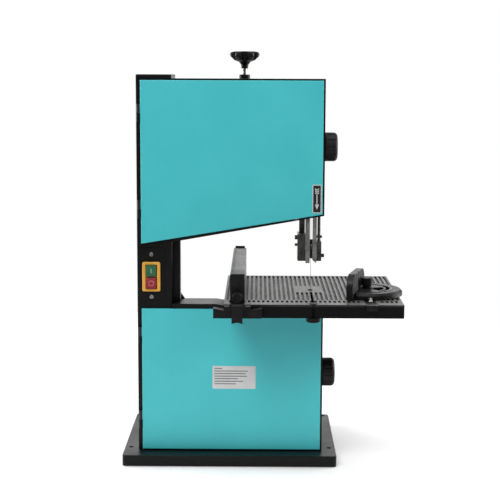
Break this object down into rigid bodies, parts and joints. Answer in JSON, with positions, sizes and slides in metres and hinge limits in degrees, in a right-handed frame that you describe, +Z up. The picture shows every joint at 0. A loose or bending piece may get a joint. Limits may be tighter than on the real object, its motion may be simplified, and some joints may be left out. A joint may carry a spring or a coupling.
{
  "type": "band saw",
  "caption": "Bench band saw with hinged wheel doors, tilting grooved table, rip fence, mitre gauge, adjustable blade guide and lobed tension knob.",
  "frame": {"origin": "centre of the four base bolt holes on the bench plane", "axes": "+X towards the operator's right, +Y away from the operator, +Z up"},
  "size_m": [0.4864, 0.3716, 0.7203],
  "materials": {
    "black_powder_coat": "satin powder coat",
    "teal_paint": "satin",
    "table_casting": "ground top, black sides",
    "black_plastic": "moulded",
    "fence_aluminium": "anodised",
    "dark_steel": "blackened",
    "bright_steel": "zinc plated",
    "cast_wheel": "as cast",
    "black_rubber": "matt",
    "yellow_plastic": "moulded",
    "green_plastic": "moulded",
    "red_plastic": "moulded",
    "label_film": "printed film"
  },
  "bodies": {
    "frame": {"base_plate": "black_powder_coat", "rubber_feet": "black_rubber", "column": "black_powder_coat", "column_cap": "black_plastic", "blade_return_guard": "black_powder_coat", "upper_housing": "black_powder_coat", "lower_housing": "black_powder_coat", "dust_port": "black_plastic", "cord_gland": "black_plastic", "door_hinges": "black_powder_coat", "switch_box": "black_powder_coat", "switch_bezel": "yellow_plastic", "frame_screws": "bright_steel", "bearing_case": "black_powder_coat", "blade": "bright_steel", "drive_belt": "black_rubber", "motor_body": "black_powder_coat", "tension_bracket": "black_powder_coat", "guide_clamp": "dark_steel", "lower_guide_block": "dark_steel", "trunnion_bracket": "black_powder_coat"},
    "upper_door": {"upper_door": "teal_paint", "arrow_label": "label_film"},
    "lower_door": {"lower_door": "teal_paint", "rating_label": "label_film"},
    "upper_lock": {"upper_door_lock": "black_plastic"},
    "lower_lock": {"lower_door_lock": "black_plastic"},
    "start_button": {"start_button": "green_plastic"},
    "stop_button": {"stop_button": "red_plastic"},
    "tension_screw": {"tension_spindle": "bright_steel", "tension_knob": "black_plastic"},
    "carriage": {"wheel_carriage": "dark_steel", "tension_spring": "bright_steel"},
    "tracking_screw": {"tracking_knob": "black_plastic"},
    "axle_block": {"axle_block": "dark_steel"},
    "upper_wheel": {"upper_wheel": "cast_wheel", "upper_tyre": "black_rubber"},
    "lower_wheel": {"lower_wheel": "cast_wheel", "lower_tyre": "black_rubber", "lower_axle": "bright_steel"},
    "motor_rotor": {"motor_rotor": "bright_steel"},
    "upper_guide": {"guide_carrier": "dark_steel", "guide_jaws": "bright_steel", "guard_strips": "bright_steel"},
    "guide_lock": {"guide_lock_knob": "black_plastic"},
    "upper_thrust_bearing": {"upper_thrust_bearing": "bright_steel"},
    "lower_thrust_bearing": {"lower_thrust_bearing": "bright_steel"},
    "table": {"table": "table_casting", "table_insert": "table_casting", "table_trunnion": "black_powder_coat"},
    "slot_bolt": {"slot_bolt": "black_plastic"},
    "tilt_lock": {"tilt_lock_knob": "black_plastic"},
    "fence": {"fence_rail": "fence_aluminium", "fence_head": "black_plastic", "fence_rear_hook": "black_plastic"},
    "fence_lever": {"fence_lever": "black_plastic"},
    "mitre_bar": {"mitre_bar": "dark_steel", "mitre_pointer": "bright_steel"},
    "mitre_head": {"mitre_head": "dark_steel"},
    "mitre_knob": {"mitre_knob": "black_plastic"}
  },
  "joints": [
    {"name": "upper_door_hinge", "type": "hinge", "parent": "frame", "child": "upper_door", "pos_m": [-0.1575, -0.1214, 0.53], "axis": [0, 0, 1], "range_deg": [-110, 0]},
    {"name": "lower_door_hinge", "type": "hinge", "parent": "frame", "child": "lower_door", "pos_m": [-0.1575, -0.1214, 0.15], "axis": [0, 0, 1], "range_deg": [-110, 0]},
    {"name": "upper_lock_turn", "type": "hinge", "parent": "frame", "child": "upper_lock", "pos_m": [0.1635, -0.095, 0.5565], "axis": [1, 0, 0], "range_deg": [0, 90]},
    {"name": "lower_lock_turn", "type": "hinge", "parent": "frame", "child": "lower_lock", "pos_m": [0.1635, -0.095, 0.1575], "axis": [1, 0, 0], "range_deg": [0, 90]},
    {"name": "start_button_press", "type": "slide", "parent": "frame", "child": "start_button", "axis": [0, 1, 0], "range_m": [0, 0.0025], "stiffness_N_per_m": 800},
    {"name": "stop_button_press", "type": "slide", "parent": "frame", "child": "stop_button", "axis": [0, 1, 0], "range_m": [0, 0.0025], "stiffness_N_per_m": 800},
    {"name": "tension_slide", "type": "slide", "parent": "frame", "child": "carriage", "axis": [0, 0, 1], "range_m": [-0.004, 0]},
    {"name": "tension_turn", "type": "hinge", "parent": "frame", "child": "tension_screw", "pos_m": [0.0235, -0.05, 0.68], "axis": [0, 0, 1], "range_deg": [-1152, 0]},
    {"name": "tracking_turn", "type": "hinge", "parent": "carriage", "child": "tracking_screw", "pos_m": [0.0235, -0.036, 0.5145], "axis": [0, 1, 0], "range_deg": [0, 120]},
    {"name": "tracking_tilt", "type": "hinge", "parent": "carriage", "child": "axle_block", "pos_m": [0.0235, -0.05, 0.5405], "axis": [1, 0, 0], "range_deg": [0, 1]},
    {"name": "upper_wheel_spin", "type": "hinge", "parent": "axle_block", "child": "upper_wheel", "pos_m": [0.0235, -0.09, 0.5405], "axis": [0, 1, 0], "continuous": true},
    {"name": "lower_wheel_spin", "type": "hinge", "parent": "frame", "child": "lower_wheel", "pos_m": [0.0235, -0.09, 0.1525], "axis": [0, 1, 0], "continuous": true},
    {"name": "motor_spin", "type": "hinge", "parent": "frame", "child": "motor_rotor", "pos_m": [0.1, -0.07, 0.08], "axis": [0, 1, 0], "continuous": true},
    {"name": "guide_height", "type": "slide", "parent": "frame", "child": "upper_guide", "axis": [0, 0, -1], "range_m": [-0.03, 0.04]},
    {"name": "guide_lock_turn", "type": "hinge", "parent": "frame", "child": "guide_lock", "pos_m": [0.1258, -0.06, 0.44975], "axis": [0, 1, 0], "range_deg": [-360, 0]},
    {"name": "upper_thrust_spin", "type": "hinge", "parent": "upper_guide", "child": "upper_thrust_bearing", "pos_m": [0.14105, -0.08025, 0.379], "axis": [1, 0, 0], "continuous": true},
    {"name": "lower_thrust_spin", "type": "hinge", "parent": "frame", "child": "lower_thrust_bearing", "pos_m": [0.14105, -0.08025, 0.2769], "axis": [1, 0, 0], "continuous": true},
    {"name": "table_tilt", "type": "hinge", "parent": "frame", "child": "table", "pos_m": [0.14105, -0.075, 0.3023], "axis": [0, 1, 0], "range_deg": [0, 30]},
    {"name": "tilt_lock_turn", "type": "hinge", "parent": "frame", "child": "tilt_lock", "pos_m": [0.14105, -0.03, 0.2613], "axis": [0, 1, 0], "range_deg": [-180, 0]},
    {"name": "slot_bolt_turn", "type": "hinge", "parent": "table", "child": "slot_bolt", "pos_m": [0.14105, -0.2182, 0.28], "axis": [0, 0, 1], "range_deg": [-360, 0]},
    {"name": "fence_slide", "type": "slide", "parent": "table", "child": "fence", "axis": [-1, 0, 0], "range_m": [-0.102, 0]},
    {"name": "fence_lever_lift", "type": "hinge", "parent": "fence", "child": "fence_lever", "pos_m": [0.0145, -0.249, 0.3022], "axis": [-1, 0, 0], "range_deg": [0, 80]},
    {"name": "mitre_slide", "type": "slide", "parent": "table", "child": "mitre_bar", "axis": [0, 1, 0], "range_m": [-0.1, 0.15]},
    {"name": "mitre_turn", "type": "hinge", "parent": "mitre_bar", "child": "mitre_head", "pos_m": [0.2379, -0.125, 0.305], "axis": [0, 0, 1], "range_deg": [-149.7, 0]},
    {"name": "mitre_knob_turn", "type": "hinge", "parent": "mitre_bar", "child": "mitre_knob", "pos_m": [0.2379, -0.125, 0.32], "axis": [0, 0, 1], "range_deg": [0, 360]}
  ],
  "couplings": [
    {"joint": "tension_turn", "follows": "tension_slide", "rad_per_m": 5026.5},
    {"joint": "tracking_tilt", "follows": "tracking_turn", "ratio": 0.0083333},
    {"joint": "upper_wheel_spin", "follows": "lower_wheel_spin", "ratio": 1},
    {"joint": "motor_spin", "follows": "lower_wheel_spin", "ratio": 5}
  ]
}
